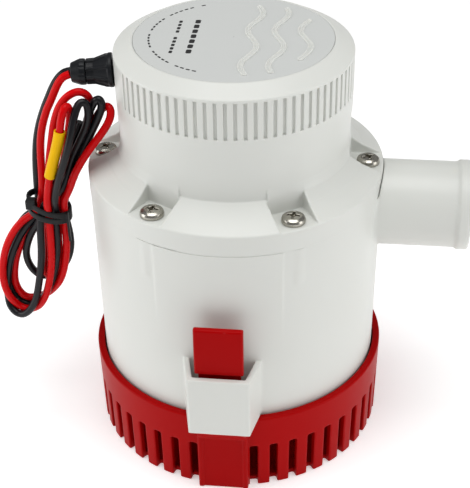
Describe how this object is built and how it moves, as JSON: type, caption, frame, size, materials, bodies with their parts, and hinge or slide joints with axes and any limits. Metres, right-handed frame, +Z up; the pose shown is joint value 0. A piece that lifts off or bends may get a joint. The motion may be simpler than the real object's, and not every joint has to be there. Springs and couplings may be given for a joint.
{
  "type": "submersible bilge pump",
  "caption": "Upright round submersible bilge pump with a side hose outlet, screwed motor housing, clip-on slotted strainer base and tied two-core supply lead.",
  "frame": {"origin": "middle of the strainer base's underside, on the surface that the pump stands on", "axes": "+Z up along the motor's axis; +X along the hose outlet; the two strainer latches are on -Y and +Y; the cable gland is on the -X side"},
  "size_m": [0.2224, 0.164, 0.2013],
  "materials": {
    "white_plastic": "satin white moulded plastic",
    "label_grey": "fine matt pale grey plate",
    "red_plastic": "satin red moulded plastic",
    "black_plastic": "matt black moulded plastic",
    "black_rubber": "black rubber",
    "stainless": "plain stainless steel",
    "zinc_steel": "zinc plated steel",
    "core_steel": "stacked core laminations",
    "ferrite": "dark grey ferrite",
    "insulation": "brown insulation board",
    "carbon": "carbon",
    "copper": "enamelled copper wire",
    "brass": "plain brass",
    "lead_red_pvc": "red insulated wire",
    "lead_black_pvc": "black insulated wire",
    "yellow_sleeve": "yellow plastic sleeve"
  },
  "bodies": {
    "pump": {"pump_housing": "white_plastic", "motor_housing": "white_plastic", "suction_plate": "white_plastic", "motor_cup": "white_plastic", "top_plate": "label_grey", "flange_screw_1": "stainless", "flange_screw_2": "stainless", "flange_screw_3": "stainless", "flange_screw_4": "stainless", "flange_screw_5": "stainless", "flange_screw_6": "stainless", "suction_screw_1": "stainless", "suction_screw_2": "stainless", "suction_screw_3": "stainless", "upper_bearing": "stainless", "lower_bearing": "stainless", "flange_seal": "black_rubber", "cup_seal": "black_rubber", "gland_grommet": "black_rubber", "shaft_seal": "black_rubber", "gland_body": "black_plastic", "gland_nut": "black_plastic", "lead_red": "lead_red_pvc", "inner_lead_red": "lead_red_pvc", "lead_black": "lead_black_pvc", "inner_lead_black": "lead_black_pvc", "lead_hank": "lead_black_pvc", "hank_tie": "lead_black_pvc", "marker_sleeve": "yellow_sleeve", "motor_can": "zinc_steel", "motor_end_bell": "zinc_steel", "brush_spring_a": "zinc_steel", "brush_spring_b": "zinc_steel", "magnet_left": "ferrite", "magnet_right": "ferrite", "brush_plate": "insulation", "brush_a": "carbon", "brush_b": "carbon"},
    "rotor": {"motor_shaft": "stainless", "armature_core": "core_steel", "armature_windings": "copper", "commutator": "brass", "impeller": "white_plastic", "impeller_nut": "brass"},
    "strainer": {"strainer_base": "red_plastic"},
    "latch_front": {"latch_tab_front": "red_plastic"},
    "latch_back": {"latch_tab_back": "red_plastic"}
  },
  "joints": [
    {"name": "rotor_spin", "type": "hinge", "parent": "pump", "child": "rotor", "pos_m": [0, 0, 0.1], "axis": [0, 0, 1], "continuous": true},
    {"name": "strainer_release", "type": "slide", "parent": "pump", "child": "strainer", "axis": [0, 0, -1], "range_m": [0, 0.06]},
    {"name": "front_latch_press", "type": "hinge", "parent": "strainer", "child": "latch_front", "pos_m": [0, -0.0748, 0.0443], "axis": [-1, 0, 0], "range_deg": [0, 3], "stiffness_Nm_per_rad": 6},
    {"name": "back_latch_press", "type": "hinge", "parent": "strainer", "child": "latch_back", "pos_m": [0, 0.0748, 0.0443], "axis": [1, 0, 0], "range_deg": [0, 3], "stiffness_Nm_per_rad": 6}
  ]
}
